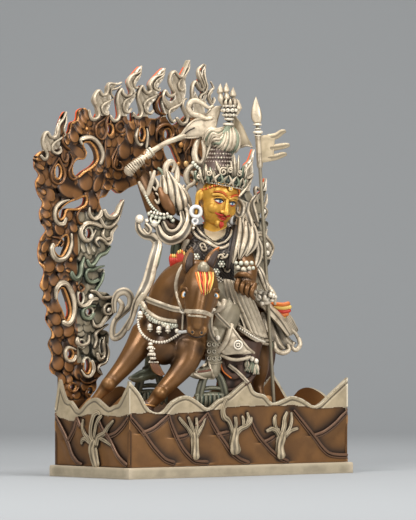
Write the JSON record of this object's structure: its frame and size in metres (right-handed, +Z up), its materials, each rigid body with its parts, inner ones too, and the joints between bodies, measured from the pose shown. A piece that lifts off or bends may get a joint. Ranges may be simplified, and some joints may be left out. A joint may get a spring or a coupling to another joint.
{
  "type": "equestrian figure statue",
  "caption": "Crowned rider on horseback with raised whip and lance, before a pierced flame arch, on a mountain plinth; cast metal, part silvered and painted.",
  "frame": {"origin": "centre of the base plate's underside", "axes": "+X to the right along the plinth's long side, -Y toward its front, +Z up"},
  "size_m": [0.312, 0.1473, 0.417],
  "materials": {
    "brown_bronze": "oxidised brown bronze, dark in the hollows",
    "silvered_metal": "antique cream-silver with a dark green wash in the hollows",
    "gilt": "matt gold paint on the face and neck"
  },
  "bodies": {
    "root": {"base_plate": "silvered_metal", "plinth": "brown_bronze", "flame_aureole": "brown_bronze", "horse_and_rider": "brown_bronze", "lance": "silvered_metal"}
  },
  "joints": []
}
